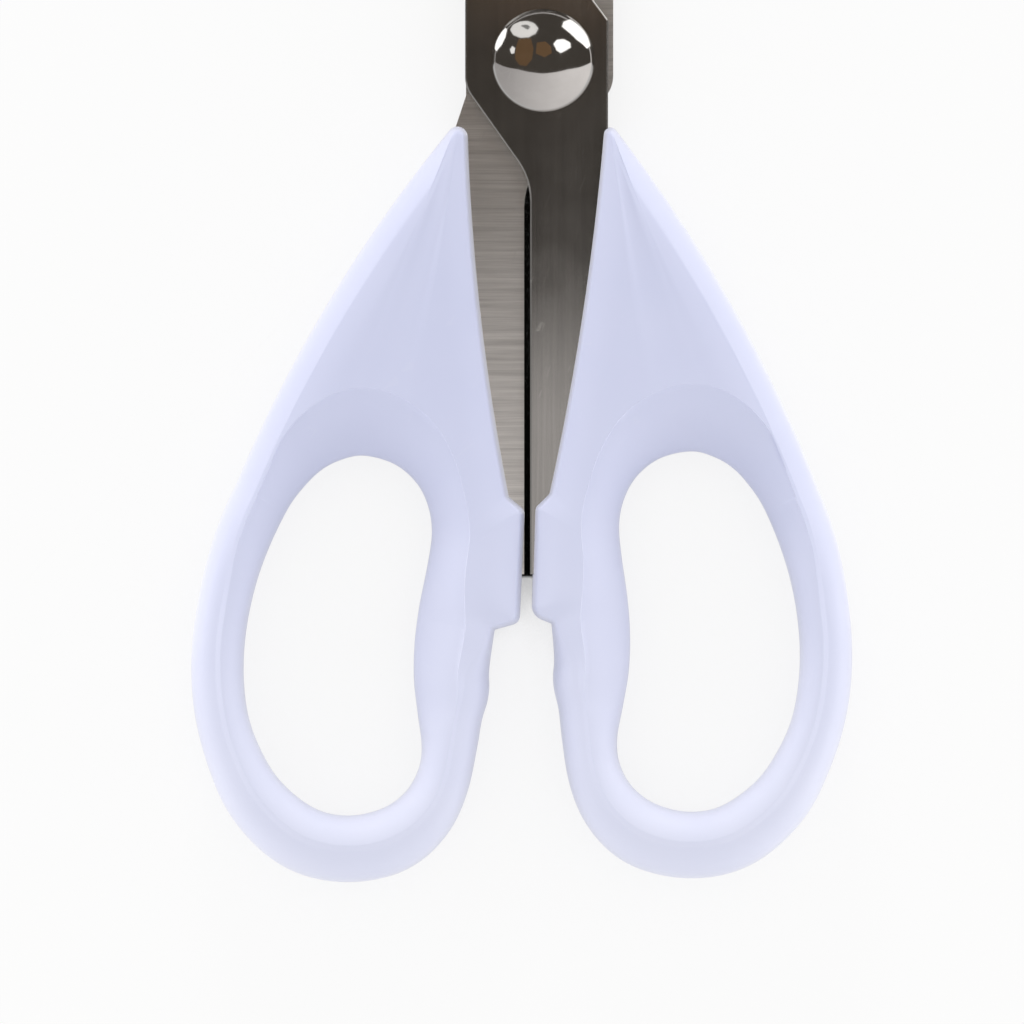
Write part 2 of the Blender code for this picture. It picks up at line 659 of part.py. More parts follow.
def build_pin(material):
    """The pin: a flat round head behind the rear blade, and a stem up into the bush."""
    stem = BUSH_BORE_RADIUS - FIT_GAP
    stem_top = REAR_BLADE_LEVEL + PIN_DEPTH
    profile = [
        (0, stem_top),
        (stem - PIN_HEAD_CHAMFER, stem_top),
        (stem, stem_top - PIN_HEAD_CHAMFER),
        (stem, PIN_HEAD_THICKNESS),
        (PIN_HEAD_RADIUS, PIN_HEAD_THICKNESS),
        (PIN_HEAD_RADIUS, PIN_HEAD_CHAMFER),
        (PIN_HEAD_RADIUS - PIN_HEAD_CHAMFER, 0),
        (0, 0),
    ]
    return turned(profile, ROUND_SEGMENTS, "pivot_pin", material)


def build():
    clear_scene()
    steel, plastic = ground_steel(), lavender_plastic()
    plain, polished = plain_steel(), polished_steel()
    front_half = bpy.data.objects.new("front_half", None)
    bpy.context.scene.collection.objects.link(front_half)
    build_blade(REAR, "rear_blade", steel, None)
    build_handle(REAR, "rear_handle", plastic, None)
    build_blade(FRONT, "front_blade", steel, front_half)
    build_handle(FRONT, "front_handle", plastic, front_half)
    build_pin(plain)
    build_bush(plain)
    build_washer(plain)
    build_cap(polished)


build()
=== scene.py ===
"""Looks of the kitchen scissors: satin lavender plastic loops, ground steel blades, a polished cap.

X = 0, Y = 0 is the pivot's axis, +Y runs towards the tips and +Z towards the domed cap.
Sizes are in metres. The finger loops, the cap and the pin are modelled here over their plain
solids, and the other pieces keep their solids and get their finish here.
"""

import math
from collections import namedtuple

import bmesh
import bpy
import numpy as np
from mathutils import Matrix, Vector


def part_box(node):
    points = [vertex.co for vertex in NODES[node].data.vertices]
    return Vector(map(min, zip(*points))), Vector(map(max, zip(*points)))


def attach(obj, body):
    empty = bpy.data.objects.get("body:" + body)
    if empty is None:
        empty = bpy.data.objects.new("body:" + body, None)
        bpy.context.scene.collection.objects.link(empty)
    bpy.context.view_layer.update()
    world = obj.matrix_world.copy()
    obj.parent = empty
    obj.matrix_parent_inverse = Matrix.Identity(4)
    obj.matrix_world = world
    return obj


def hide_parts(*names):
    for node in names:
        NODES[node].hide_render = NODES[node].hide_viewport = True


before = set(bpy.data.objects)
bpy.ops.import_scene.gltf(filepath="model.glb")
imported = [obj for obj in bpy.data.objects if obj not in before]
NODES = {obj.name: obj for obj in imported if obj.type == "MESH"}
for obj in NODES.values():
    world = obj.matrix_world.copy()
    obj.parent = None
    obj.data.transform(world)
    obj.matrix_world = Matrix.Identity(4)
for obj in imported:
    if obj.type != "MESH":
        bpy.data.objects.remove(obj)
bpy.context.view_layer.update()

# Levels and radii, read from the frame, and the sphere that the cap is cut from
REAR_BLADE_BOTTOM, REAR_BLADE_TOP = (corner.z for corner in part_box("rear_blade"))
FRONT_BLADE_BOTTOM, FRONT_BLADE_TOP = (corner.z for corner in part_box("front_blade"))
HANDLE_BOTTOM, HANDLE_TOP = (corner.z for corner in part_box("front_handle"))
MIDDLE_LEVEL = (HANDLE_BOTTOM + HANDLE_TOP) / 2
CAP_BOTTOM, CAP_TOP = (corner.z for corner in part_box("pivot_cap"))
CAP_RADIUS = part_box("pivot_cap")[1].x
CAP_RISE = CAP_TOP - CAP_BOTTOM
CAP_SPHERE_RADIUS = (CAP_RADIUS**2 + CAP_RISE**2) / (2 * CAP_RISE)
PIN_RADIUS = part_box("pivot_pin")[1].x
PIN_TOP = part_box("pivot_pin")[1].z

# Tangs and the seats they lie in
MOULD_GAP = 0.00004
SEAT_TOP_DOWN = 0.0105
TANG_LENGTH = 0.0680

# Finger loops, in each half's own frame: u outwards from the middle line, v towards the tips
LOOP_LINE_LEFT = 0.00055
LOOP_LINE_LEAN = math.radians(1.635)
LOOP_STAGGER = 0.0009
HOLE_LENGTH = 0.0477
HOLE_WIDTH = 0.0244
HOLE_CENTRE_OUT = 0.0246
HOLE_CENTRE_DOWN = 0.0759
SHOULDER_WALL = 0.0076
SIDE_WALL = 0.0070
END_WALL = 0.0089
CORNER_WALL = 0.0071
PALM_WALL = 0.0100
NUB_WALL = 0.0104
SCOOP_WIDTH = 0.0090
PALM_REST_WIDTH = 0.0051
EDGE_ROUND = 0.0008
CROWN_WIDTH = 0.0044
CROWN_BLEND = 0.0012
INNER_CROWN_DROP = 0.0009
FLANK_CROWN_DROP = 0.0006
CREASE_STEP_SHARE = 0.016
CREASE_STEP_DROP = 0.00014
OUTER_BOW = 0.0020
NUB_TOP_RADIUS = 0.0013

# Cap and pin
CAP_WALL = 0.0005
CAP_RIM_ROUND = 0.00012
CAP_RIM_STEPS = 3
CAP_SEGMENTS = 128
CAP_RINGS = 96
PIN_HEAD_THICKNESS = 0.0010
PIN_STEM_RADIUS = 0.0014
PIN_ROUND = 0.0003
PIN_ROUND_STEPS = 4
PIN_SEGMENTS = 96

# Edges sharper than these angles, in degrees, stay sharp. Points nearer than this are merged
HANDLE_SHARP_ANGLE = 35
ROUND_SHARP_ANGLE = 40
MERGE_DISTANCE = 1e-6

# How finely the handle is drawn before it is subdivided: steps between the hole's points,
# sections along the guide lines, rings from line to line, and the parts of each section of the
# ridge from which the crown's drop is measured
HOLE_STEPS = 6
RING_SECTIONS = 100
NUB_CORNER_SECTIONS = 7
NUB_RUN_SECTIONS = 7
INNER_EDGE_SECTIONS = 28
SHOULDER_SECTIONS = 9
FLANK_SECTIONS = 30
FLANK_RAMP_SECTIONS = 7
SCOOP_RINGS = 7
FLANK_RINGS = 6
RIDGE_PARTS = 10

# Shares round the hole's edge, clockwise from its top, at which the rim's runs meet
RING_START_SHARE = 0.115
RING_END_SHARE = 0.772
REAR_RING_END_SHARE = 0.780
NUB_END_SHARE = 0.870
INNER_END_SHARE = 0.975
SHOULDER_END_SHARE = 1.005

# Round the ring: the places where its wall is set, the walls there, and the shares of the wall
# that the scoop on the hole's side and the flank on the rim's side take there
WALL_PLACE_SHARES = (RING_START_SHARE, 0.24, 0.34, 0.49, 0.54, 0.62, 0.70, RING_END_SHARE)
RING_WALLS = (
    SHOULDER_WALL, SIDE_WALL, SIDE_WALL, END_WALL, END_WALL, CORNER_WALL, PALM_WALL, NUB_WALL,
)
SCOOP_WALL_SHARES = (0.58, 0.44, 0.42, 0.44, 0.45, 0.48, 0.58, 0.63)
FLANK_WALL_SHARES = (0.365, 0.46, 0.48, 0.47, 0.46, 0.43, 0.33, 0.10)

# Along the shank: the places where the scoop's width is set, and the most of its room it takes
SCOOP_PLACE_SHARES = (RING_END_SHARE, 0.85, 0.90, 1.0, 1 + RING_START_SHARE)
SCOOP_ROOM_SHARE = 0.88

# Outline of the finger hole, in shares of its width and length from its centre, clockwise
HOLE_SHARES = (
    (-0.127, 0.499), (-0.004, 0.487), (0.111, 0.455), (0.213, 0.400), (0.290, 0.340),
    (0.383, 0.233), (0.451, 0.122), (0.492, 0.000), (0.498, -0.117), (0.467, -0.230),
    (0.393, -0.325), (0.280, -0.411), (0.098, -0.481), (-0.082, -0.500), (-0.262, -0.480),
    (-0.390, -0.434), (-0.462, -0.369), (-0.477, -0.300), (-0.451, -0.215), (-0.424, -0.117),
    (-0.422, -0.013), (-0.443, 0.092), (-0.480, 0.200), (-0.499, 0.290), (-0.476, 0.363),
    (-0.410, 0.427), (-0.290, 0.477),
)

# Round the hole's edge: where the scoop is dished with a crease at its crest, and where the
# flank is a bevel with a soft ridge, against plainly rounded
DISH_PLACE_SHARES = (RING_START_SHARE, 0.20, 0.62, RING_END_SHARE, 1 + RING_START_SHARE)
DISH_WEIGHT_SHARES = (1, 0, 0, 1, 1)
BEVEL_PLACE_SHARES = (
    RING_START_SHARE, 0.25, INNER_END_SHARE, SHOULDER_END_SHARE, 1 + RING_START_SHARE,
)
BEVEL_WEIGHT_SHARES = (0.85, 0, 0, 0.85, 0.85)

# A handle's section: how steeply the dish starts, the bevel's points as (share of the way from
# the ridge, share of the ridge's height), and the crowned face's rings as shares of its width
DISH_SLOPE_SHARE = 0.42
BEVEL_SHARES = ((0.17, 0.91), (0.34, 0.82), (0.51, 0.73), (0.68, 0.63), (0.85, 0.50), (0.96, 0.28))
CROWN_SHARES = (0.08, 0.22, 0.43, 0.70, 1.0)

# The crowned face's rings take at most this share of the way from the ridge to the crest. Where
# that way slants, they are widened, as if it crossed the rim at least this squarely
CROWN_ROOM_SHARE = 0.8
CROWN_SQUARE_SHARE = 0.15

# What differs between the halves. The tang: its levels, its free edge, which faces the other
# half, the depth of its seat and its heel. The handle: its shoulder, the bow of its inner edge,
# the nub's root, top and end, and where its ring ends
Half = namedtuple("Half", (
    "body side tang_bottom tang_top tang_edge seat_depth heel_out heel_down "
    "shoulder_out shoulder_down shoulder_radius inner_bow "
    "nub_root_out nub_root_down nub_top_out nub_top_down nub_end_out nub_end_down nub_end_radius "
    "ring_end_share"
))
FRONT = Half(
    body="front_half", side=1,
    tang_bottom=FRONT_BLADE_BOTTOM, tang_top=FRONT_BLADE_TOP, tang_edge=-0.0017,
    seat_depth=0.0033, heel_out=0.0086, heel_down=0.0089,
    shoulder_out=0.0091, shoulder_down=0.0074, shoulder_radius=0.0010, inner_bow=0.0008,
    nub_root_out=0.0029, nub_root_down=0.0582, nub_top_out=0.0011, nub_top_down=0.0600,
    nub_end_out=0.0011, nub_end_down=0.0744, nub_end_radius=0.0020,
    ring_end_share=RING_END_SHARE,
)
REAR = Half(
    body="rear_half", side=-1,
    tang_bottom=REAR_BLADE_BOTTOM, tang_top=REAR_BLADE_TOP, tang_edge=0.0025,
    seat_depth=0.0048, heel_out=0.0102, heel_down=0.0046,
    shoulder_out=0.0097, shoulder_down=0.0052, shoulder_radius=0.0014, inner_bow=0.0010,
    nub_root_out=0.0023, nub_root_down=0.0570, nub_top_out=0.00015, nub_top_down=0.0586,
    nub_end_out=0.0004, nub_end_down=0.0736, nub_end_radius=0.0013,
    ring_end_share=REAR_RING_END_SHARE,
)

# Textures that the finishes share: the spans of noise that make their tones, and the handling
# marks, which are thin lines in those patches where noise is over this level
CLOUD_SPAN = (0.32, 0.68)
LINE_SPAN = (0.7, 1.3)
MARK_STRETCH = (1.0, 0.035, 1.0)
MARK_WIDTH = 0.018
MARK_PATCH_SCALE = 330.0
MARK_PATCH_LEVEL = 0.62

# Plastic: its tones and roughness run from the texture's 0 to its 1. Painted light makes it paler
# along this run of Y, towards the ends of the loops, where the light falls brighter
PLASTIC_TONES = ((0.618, 0.648, 0.854), (0.642, 0.670, 0.870))
PAINTED_LIGHT_LOOP_END_TONES = ((0.715, 0.740, 0.912), (0.738, 0.760, 0.922))
PAINTED_LIGHT_RUN = (-0.055, -0.098)
PLASTIC_MARK_TONE = (0.74, 0.76, 0.90)
PLASTIC_ROUGHNESS = (0.36, 0.44)

# Steel, in the same way: ground across or along the blade and greyed a little, turned, or
# polished
Grind = namedtuple("Grind", "name stretch tones roughness relief")
CROSS_GROUND = Grind(
    name="cross_ground_steel", stretch=(120.0, 5200.0, 60.0),
    tones=((0.68, 0.658, 0.632), (1.0, 0.975, 0.945)), roughness=(0.43, 0.51), relief=0.5,
)
LONG_GROUND = Grind(
    name="long_ground_steel", stretch=(3800.0, 60.0, 60.0),
    tones=((0.39, 0.377, 0.36), (0.475, 0.46, 0.44)), roughness=(0.19, 0.27), relief=0.2,
)
GREY_TONE = (0.5, 0.5, 0.5)
GREY_SHARE = 0.12
STEEL_MARK_TONE = (0.75, 0.74, 0.72)
TURNED_TONES = ((0.44, 0.43, 0.41), (0.54, 0.53, 0.51))
TURNED_ROUGHNESS = (0.26, 0.34)
POLISHED_TONES = ((0.665, 0.65, 0.635), (0.725, 0.71, 0.695))
POLISHED_MARK_TONE = (0.86, 0.85, 0.83)
POLISHED_ROUGHNESS = (0.05, 0.10)

# Camera, straight above the part of the scissors that it frames
VIEW_WIDTH = 0.13568
VIEW_CENTRE = (-0.00411, -0.05976)
VIEW_LEVEL = 0.00345
CAMERA_DISTANCE = 1.6
CAMERA_CLIP = (0.01, 20.0)
SENSOR_WIDTH = 36.0

# Light: the even sky, what shiny surfaces see of it to the left and right, and the low lamps,
# each as name, place, length, height and power
WHITE = (1.0, 1.0, 1.0)
SKY_LEVEL = 0.88
SKY_LEFT = 0.42
SKY_RIGHT = 0.88
SKY_TONE = (1.0, 0.962, 0.945)
LAMP_TONE = (1.0, 0.97, 0.90)
LAMPS = (
    ("left_lamp", (-0.32, -0.06, 0.034), 0.40, 0.06, 0.31),
    ("right_lamp", (0.31, -0.06, 0.034), 0.40, 0.06, 0.31),
    ("front_lamp", (0.0, -0.42, 0.05), 0.30, 0.08, 0.04),
    ("back_lamp", (-0.1, 1.2, 0.17), 0.30, 0.30, 6.4),
)

# Floor: how near a thing has to be to shade it, the span of openness over which the camera comes
# to see it white, that white and its share of what the camera sees, and what shiny surfaces see.
# The white is a glow with painted shade, which fades it where things are near
FLOOR_SIZE = 6
FLOOR_TONES = ((0.915, 0.915, 0.915), (0.925, 0.925, 0.925))
FLOOR_ROUGHNESS = 0.9
SHADE_REACH = 0.012
SHADE_SAMPLES = 8
WHITE_SPAN = (-0.10, 0.26)
WHITE_LEVEL = 0.99
WHITE_SHARE = 0.82
FLOOR_GLINT = 0.55

# Painted shadow: the floor beside the rear tang is painted dark while the front tang closes it in.
# Its middle, half its width and length, its soft edge, and how open a spot is that counts as closed
# in
PAINTED_TANG_SHADOW_MIDDLE = (-0.0021, -0.0399)
PAINTED_TANG_SHADOW_REACH = (0.0010, 0.0283)
PAINTED_TANG_SHADOW_BLUR = 0.0004
PAINTED_TANG_SHADOW_TONE = (0.03, 0.028, 0.025)
CLOSED_IN_SPAN = (0.40, 0.60)

# The dark flag that the steel at the pivot shows: its level, its reach, and its near edge in
# shares of the level. The dark cloth under it: its height over the floor, and its near edge
FLAG_LEVEL = 0.093
FLAG_REACH = 3.0
FLAG_TONE = (0.062, 0.054, 0.046)
FLAG_EDGE_SHARES = (
    (-2.0, -0.33), (-0.9, -0.30), (-0.45, -0.345), (0.0, -0.375), (0.45, -0.345), (0.9, -0.30),
    (2.0, -0.33),
)
CLOTH_LIFT = 0.0002
CLOTH_EDGE = -0.010

# The panels before the flag: how far the first hangs from the cap, how much nearer the next ones
# are, and each one's tone, strength, and outline where it shows on the cap, in millimetres from
# the pivot's axis
PANEL_DISTANCE = 0.085
PANEL_STEP = 0.002
PALE_TONE = (1.0, 0.99, 0.97)
BROWN_TONE = (0.26, 0.155, 0.08)
CAP_PANELS = (
    (BROWN_TONE, 0.55, (
        (-3.20, 2.90), (-1.60, 3.00), (-1.25, 1.60), (-1.45, 0.20), (-2.20, -0.70), (-3.10, -0.55),
        (-3.70, 0.30), (-3.60, 1.60),
    )),
    (BROWN_TONE, 0.62, (
        (-0.80, 2.40), (0.30, 2.55), (1.05, 1.90), (1.15, 1.00), (0.20, 0.45), (-0.95, 0.95),
    )),
    (PALE_TONE, 1.6, (
        (-6.36, 1.68), (-6.13, 2.78), (-5.59, 3.78), (-4.93, 4.54), (-4.70, 4.20), (-4.93, 3.20),
        (-5.40, 2.25), (-6.10, 1.40),
    )),
    (PALE_TONE, 0.95, (
        (-4.31, 4.20), (-3.90, 4.85), (-3.00, 5.25), (-2.00, 5.30), (-1.10, 4.95), (-0.60, 4.30),
        (-0.95, 3.60), (-1.90, 3.10), (-2.95, 3.05), (-3.90, 3.45),
    )),
    (PALE_TONE, 0.22, (
        (-3.40, 4.30), (-2.90, 4.75), (-2.05, 4.85), (-1.35, 4.40), (-1.60, 3.85), (-2.30, 3.60),
        (-3.05, 3.75),
    )),
    (PALE_TONE, 1.7, (
        (2.69, 5.20), (3.58, 5.54), (4.68, 4.77), (5.78, 3.44), (6.25, 2.12), (5.78, 1.70),
        (5.13, 2.35), (4.46, 2.80), (3.80, 3.45), (3.14, 4.00), (2.48, 4.54),
    )),
    (PALE_TONE, 1.6, (
        (1.37, 2.22), (1.80, 2.78), (2.69, 2.89), (3.58, 2.45), (3.68, 1.80), (3.14, 1.45),
        (2.36, 1.02), (1.80, 1.35),
    )),
    (PALE_TONE, 1.1, (
        (-4.37, 1.56), (-4.04, 2.01), (-3.67, 1.68), (-3.81, 1.02), (-4.20, 0.97),
    )),
)


# Guide lines of the finger loops

def smooth_loop(points, steps):
    """A closed curve through the points, with this many steps between each pair of them."""
    before, after = np.roll(points, 1, axis=0), np.roll(points, -1, axis=0)
    slope = (after - before) / 2
    end, end_slope = after, np.roll(slope, -1, axis=0)
    curve = []
    for step in range(steps):
        t = step / steps
        start_weight = 2 * t**3 - 3 * t**2 + 1
        curve.append(
            start_weight * points + (t**3 - 2 * t**2 + t) * slope
            + (1 - start_weight) * end + (t**3 - t**2) * end_slope
        )
    return np.stack(curve, axis=1).reshape(-1, 2)


def outward(points):
    """The unit normals of a closed clockwise line of points, away from what it encloses."""
    along = np.roll(points, -1, axis=0) - points
    along /= np.linalg.norm(along, axis=1)[:, None]
    along = along + np.roll(along, 1, axis=0)
    along /= np.linalg.norm(along, axis=1)[:, None]
    return np.stack([-along[:, 1], along[:, 0]], axis=1)


def walk(curve, shares):
    """Points and outward normals at these shares of the way round a closed clockwise curve."""
    closed = np.vstack([curve, curve[:1]])
    lengths = np.linalg.norm(np.diff(closed, axis=0), axis=1)
    travelled = np.concatenate([[0], np.cumsum(lengths)]) / lengths.sum()
    normals = outward(curve)
    normals = np.vstack([normals, normals[:1]])
    wrapped = np.mod(shares, 1)
    at = [np.interp(wrapped, travelled, closed[:, axis]) for axis in (0, 1)]
    facing = [np.interp(wrapped, travelled, normals[:, axis]) for axis in (0, 1)]
    facing = np.stack(facing, axis=1)
    return np.stack(at, axis=1), facing / np.linalg.norm(facing, axis=1)[:, None]


def ease(places, values, wanted):
    """Values that pass smoothly from one place to the next."""
    wanted = np.asarray(wanted, float)
    index = np.clip(np.searchsorted(places, wanted, side="right") - 1, 0, len(places) - 2)
    places, values = np.asarray(places), np.asarray(values)
    t = np.clip((wanted - places[index]) / (places[index + 1] - places[index]), 0, 1)
    return values[index] + (values[index + 1] - values[index]) * t * t * (3 - 2 * t)


def bowed_line(start, end, bow, count):
    """Points of a slightly bowed line, without its last, the bow to the left of its way."""
    start, end = np.asarray(start), np.asarray(end)
    along = end - start
    left = np.array([-along[1], along[0]]) / np.linalg.norm(along)
    t = (1 - np.cos(np.pi * np.arange(count)[:, None] / count)) / 2
    return start + along * t + left * bow * 4 * t * (1 - t)


def round_corner(before, corner, after, radius, count):
    """Points of the arc that rounds off a corner, its two ends included."""
    before, corner, after = (np.asarray(point, float) for point in (before, corner, after))
    arm_in = (before - corner) / np.linalg.norm(before - corner)
    arm_out = (after - corner) / np.linalg.norm(after - corner)
    half_angle = math.acos(np.clip(arm_in @ arm_out, -1, 1)) / 2
    reach = radius / math.tan(half_angle)
    middle = arm_in + arm_out
    centre = corner + middle / np.linalg.norm(middle) * radius / math.sin(half_angle)
    first, last = corner + arm_in * reach - centre, corner + arm_out * reach - centre
    turn = math.atan2(first[0] * last[1] - first[1] * last[0], first @ last)
    points = []
    for step in range(count + 1):
        angle = turn * step / count
        cos, sin = math.cos(angle), math.sin(angle)
        points.append(centre + (cos * first[0] - sin * first[1], sin * first[0] + cos * first[1]))
    return points


def place(half, points):
    """Points of a half's own loop frame, in the plan of the whole scissors."""
    points = np.atleast_2d(points)
    x = half.side * points[:, 0]
    y = points[:, 1] + half.side * LOOP_STAGGER
    cos, sin = math.cos(LOOP_LINE_LEAN), math.sin(LOOP_LINE_LEAN)
    return np.stack([x * cos + y * sin - LOOP_LINE_LEFT, y * cos - x * sin], axis=1)


def hole_curve():
    """The finger hole's edge, in the loop's own frame."""
    centre = np.array([HOLE_CENTRE_OUT, -HOLE_CENTRE_DOWN])
    return smooth_loop(centre + np.array(HOLE_SHARES) * (HOLE_WIDTH, HOLE_LENGTH), HOLE_STEPS)


def shoulder_corner(half):
    """The sharp corner at the top of the handle, before it is rounded."""
    return np.array([half.shoulder_out, -half.shoulder_down])


def nub_root(half):
    """Where the shank's inner edge ends at the nub."""
    return np.array([half.nub_root_out, -half.nub_root_down])


def shank_corner_arc(half, ring_start):
    """The rounded nose of the shoulder, from the inner edge to the outer flank."""
    return round_corner(
        nub_root(half), shoulder_corner(half), ring_start, half.shoulder_radius, SHOULDER_SECTIONS
    )


def nub_points(half, ring_end):
    """The nub's outline, from the ring's palm side up to the root of the inner edge."""
    low = np.array([half.nub_end_out, -half.nub_end_down])
    high = np.array([half.nub_top_out, -half.nub_top_down])
    low_arc = round_corner(ring_end, low, high, half.nub_end_radius, NUB_CORNER_SECTIONS)
    high_arc = round_corner(low, high, nub_root(half), NUB_TOP_RADIUS, NUB_CORNER_SECTIONS)
    return [
        *bowed_line(ring_end, low_arc[0], 0, NUB_RUN_SECTIONS)[1:],
        *low_arc,
        *bowed_line(low_arc[-1], high_arc[0], 0, NUB_RUN_SECTIONS)[1:],
        *high_arc,
    ]


def spread(start, end, run):
    """Shares from start to end, apart from both, in step with the lengths along a run of points."""
    lengths = np.linalg.norm(np.diff(np.asarray(run), axis=0), axis=1)
    travelled = np.concatenate([[0], np.cumsum(lengths)]) / lengths.sum()
    margin = 1 / (2 * len(run))
    return start + (end - start) * (margin + travelled * (1 - 2 * margin))


def handle_guides(half):
    """Matched points of the guide lines hole, crest, ridge and rim, and their shares round the
    hole's edge."""
    curve = hole_curve()
    ring = np.linspace(RING_START_SHARE, half.ring_end_share, RING_SECTIONS)
    wall = ease(WALL_PLACE_SHARES, RING_WALLS, ring)
    scoop = ease(WALL_PLACE_SHARES, SCOOP_WALL_SHARES, ring) * wall
    slope = ease(WALL_PLACE_SHARES, FLANK_WALL_SHARES, ring) * wall
    ring_hole, ring_facing = walk(curve, ring)
    ring_rim = ring_hole + ring_facing * wall[:, None]

    nub = nub_points(half, ring_rim[-1])
    nose = shank_corner_arc(half, ring_rim[0])
    inner_edge = bowed_line(nub_root(half), nose[0], -half.inner_bow, INNER_EDGE_SECTIONS)
    flank = bowed_line(nose[-1], ring_rim[0], OUTER_BOW, FLANK_SECTIONS)[1:]
    runs = (
        (half.ring_end_share, NUB_END_SHARE, nub),
        (NUB_END_SHARE, INNER_END_SHARE, inner_edge),
        (INNER_END_SHARE, SHOULDER_END_SHARE, nose),
        (SHOULDER_END_SHARE, 1 + RING_START_SHARE, flank),
    )
    shares = np.concatenate([spread(*run) for run in runs])
    shank_hole, shank_facing = walk(curve, shares)
    scoops = (scoop[-1], PALM_REST_WIDTH, PALM_REST_WIDTH, SCOOP_WIDTH, scoop[0])
    shank_slope = np.full(len(shares), EDGE_ROUND)
    ramp = (0, FLANK_RAMP_SECTIONS)
    shank_slope[-len(flank):] = ease(ramp, (EDGE_ROUND, slope[0]), np.arange(len(flank)))

    hole = np.vstack([ring_hole, shank_hole])
    facing = np.vstack([ring_facing, shank_facing])
    rim = np.vstack([ring_rim, nub, inner_edge, nose, flank])
    scoop = np.concatenate([scoop, ease(SCOOP_PLACE_SHARES, scoops, shares)])
    slope = np.concatenate([slope, shank_slope])
    ridge = rim - outward(rim) * slope[:, None]
    room = SCOOP_ROOM_SHARE * np.linalg.norm(ridge - hole, axis=1)
    crest = hole + facing * np.minimum(scoop, room)[:, None]
    return (hole, crest, ridge, rim), np.concatenate([ring, shares])


# Modelling by hand: a primitive, edit mode operators, and modifiers that are applied

def deselect_all():
    """Leaves nothing selected."""
    bpy.ops.object.select_all(action="DESELECT")


def pick(obj):
    """Makes one object the only one that is selected, and the active one."""
    deselect_all()
    bpy.context.view_layer.objects.active = obj
    obj.select_set(True)


def edit_mesh(obj):
    """Opens one object in edit mode and gives its mesh."""
    pick(obj)
    bpy.ops.object.mode_set(mode="EDIT")
    return bmesh.from_edit_mesh(obj.data)


def leave_edit(obj):
    """Turns the faces outwards and goes back to object mode."""
    bpy.ops.mesh.select_all(action="SELECT")
    bpy.ops.mesh.normals_make_consistent(inside=False)
    bpy.ops.object.mode_set(mode="OBJECT")
    return obj


def apply_modifier(obj, kind, **settings):
    """Adds a modifier to an object with these settings and applies it."""
    pick(obj)
    modifier = obj.modifiers.new(kind.lower(), kind)
    for setting, value in settings.items():
        setattr(modifier, setting, value)
    bpy.ops.object.modifier_apply(modifier=modifier.name)


def settle(obj):
    """Puts an object's place and turn into its mesh."""
    pick(obj)
    bpy.ops.object.transform_apply(location=True, rotation=True, scale=True)


def smooth(obj, sharp_angle):
    """Shades an object smooth, apart from its edges sharper than this angle in degrees."""
    pick(obj)
    bpy.ops.object.shade_smooth_by_angle(angle=math.radians(sharp_angle))


def line_up(bm, spots):
    """Moves the selected vertices to the spots of their stations."""
    station = bm.verts.layers.int["station"]
    for vert in bm.verts:
        if vert.select:
            vert.co = spots[vert[station]]


def crease_ring(obj, creases):
    """Creases the selected ring of edges, by its stations."""
    bm = bmesh.from_edit_mesh(obj.data)
    station = bm.verts.layers.int["station"]
    crease = bm.edges.layers.float.get("crease_edge") or bm.edges.layers.float.new("crease_edge")
    creases = np.broadcast_to(creases, sum(vert.select for vert in bm.verts))
    for edge in bm.edges:
        if edge.select:
            edge[crease] = min(creases[vert[station]] for vert in edge.verts)
    bmesh.update_edit_mesh(obj.data)


def start_ring(name, spots):
    """Adds a circle with a vertex for each spot and moves its vertices there, in edit mode."""
    deselect_all()
    bpy.ops.mesh.primitive_circle_add(vertices=len(spots), radius=HOLE_WIDTH / 2)
    obj = bpy.context.object
    obj.name = name
    bm = edit_mesh(obj)
    station = bm.verts.layers.int.new("station")
    bm.verts.ensure_lookup_table()
    for index, vert in enumerate(bm.verts):
        vert[station] = index
        vert.select = True
    line_up(bm, spots)
    bm.select_flush(True)
    bmesh.update_edit_mesh(obj.data)
    return obj


def extrude_ring(obj, spots):
    """Extrudes the selected ring of edges and moves the new ring to the spots."""
    bpy.ops.mesh.extrude_region_move()
    bm = bmesh.from_edit_mesh(obj.data)
    line_up(bm, spots)
    bmesh.update_edit_mesh(obj.data)


def quarter(steps):
    """Steps of a quarter turn, its ends left out, as shares outwards and shares of height."""
    turns = np.arange(1, steps + 1) * math.pi / 2 / (steps + 1)
    return list(zip(np.sin(turns), np.cos(turns)))


def raised(points, heights):
    """Plan points at these heights: one height for all, or one for each."""
    heights = np.broadcast_to(heights, len(points))
    return [Vector((x, y, height)) for (x, y), height in zip(points, heights)]


def ring_at(half, points, heights):
    """Points of a half's loop frame at their heights over the handle's middle level."""
    return raised(place(half, points), MIDDLE_LEVEL + heights)


def crown_drop(spots, ridge, drops):
    """How far the crowned face lies below its flat at these spots, by their way from the ridge."""
    steps, drop_steps = np.roll(ridge, -1, axis=0) - ridge, np.roll(drops, -1) - drops
    parts = np.arange(RIDGE_PARTS) / RIDGE_PARTS
    line = np.concatenate([ridge + steps * part for part in parts])
    line_drops = np.concatenate([drops + drop_steps * part for part in parts])
    ways = np.linalg.norm(spots[:, None] - line[None], axis=2)
    nearest = ways.min(axis=1)
    weights = np.exp((nearest[:, None] ** 2 - ways**2) / (2 * CROWN_BLEND**2))
    full = (weights * line_drops).sum(axis=1) / weights.sum(axis=1)
    return full * np.maximum(1 - nearest / CROWN_WIDTH, 0) ** 2


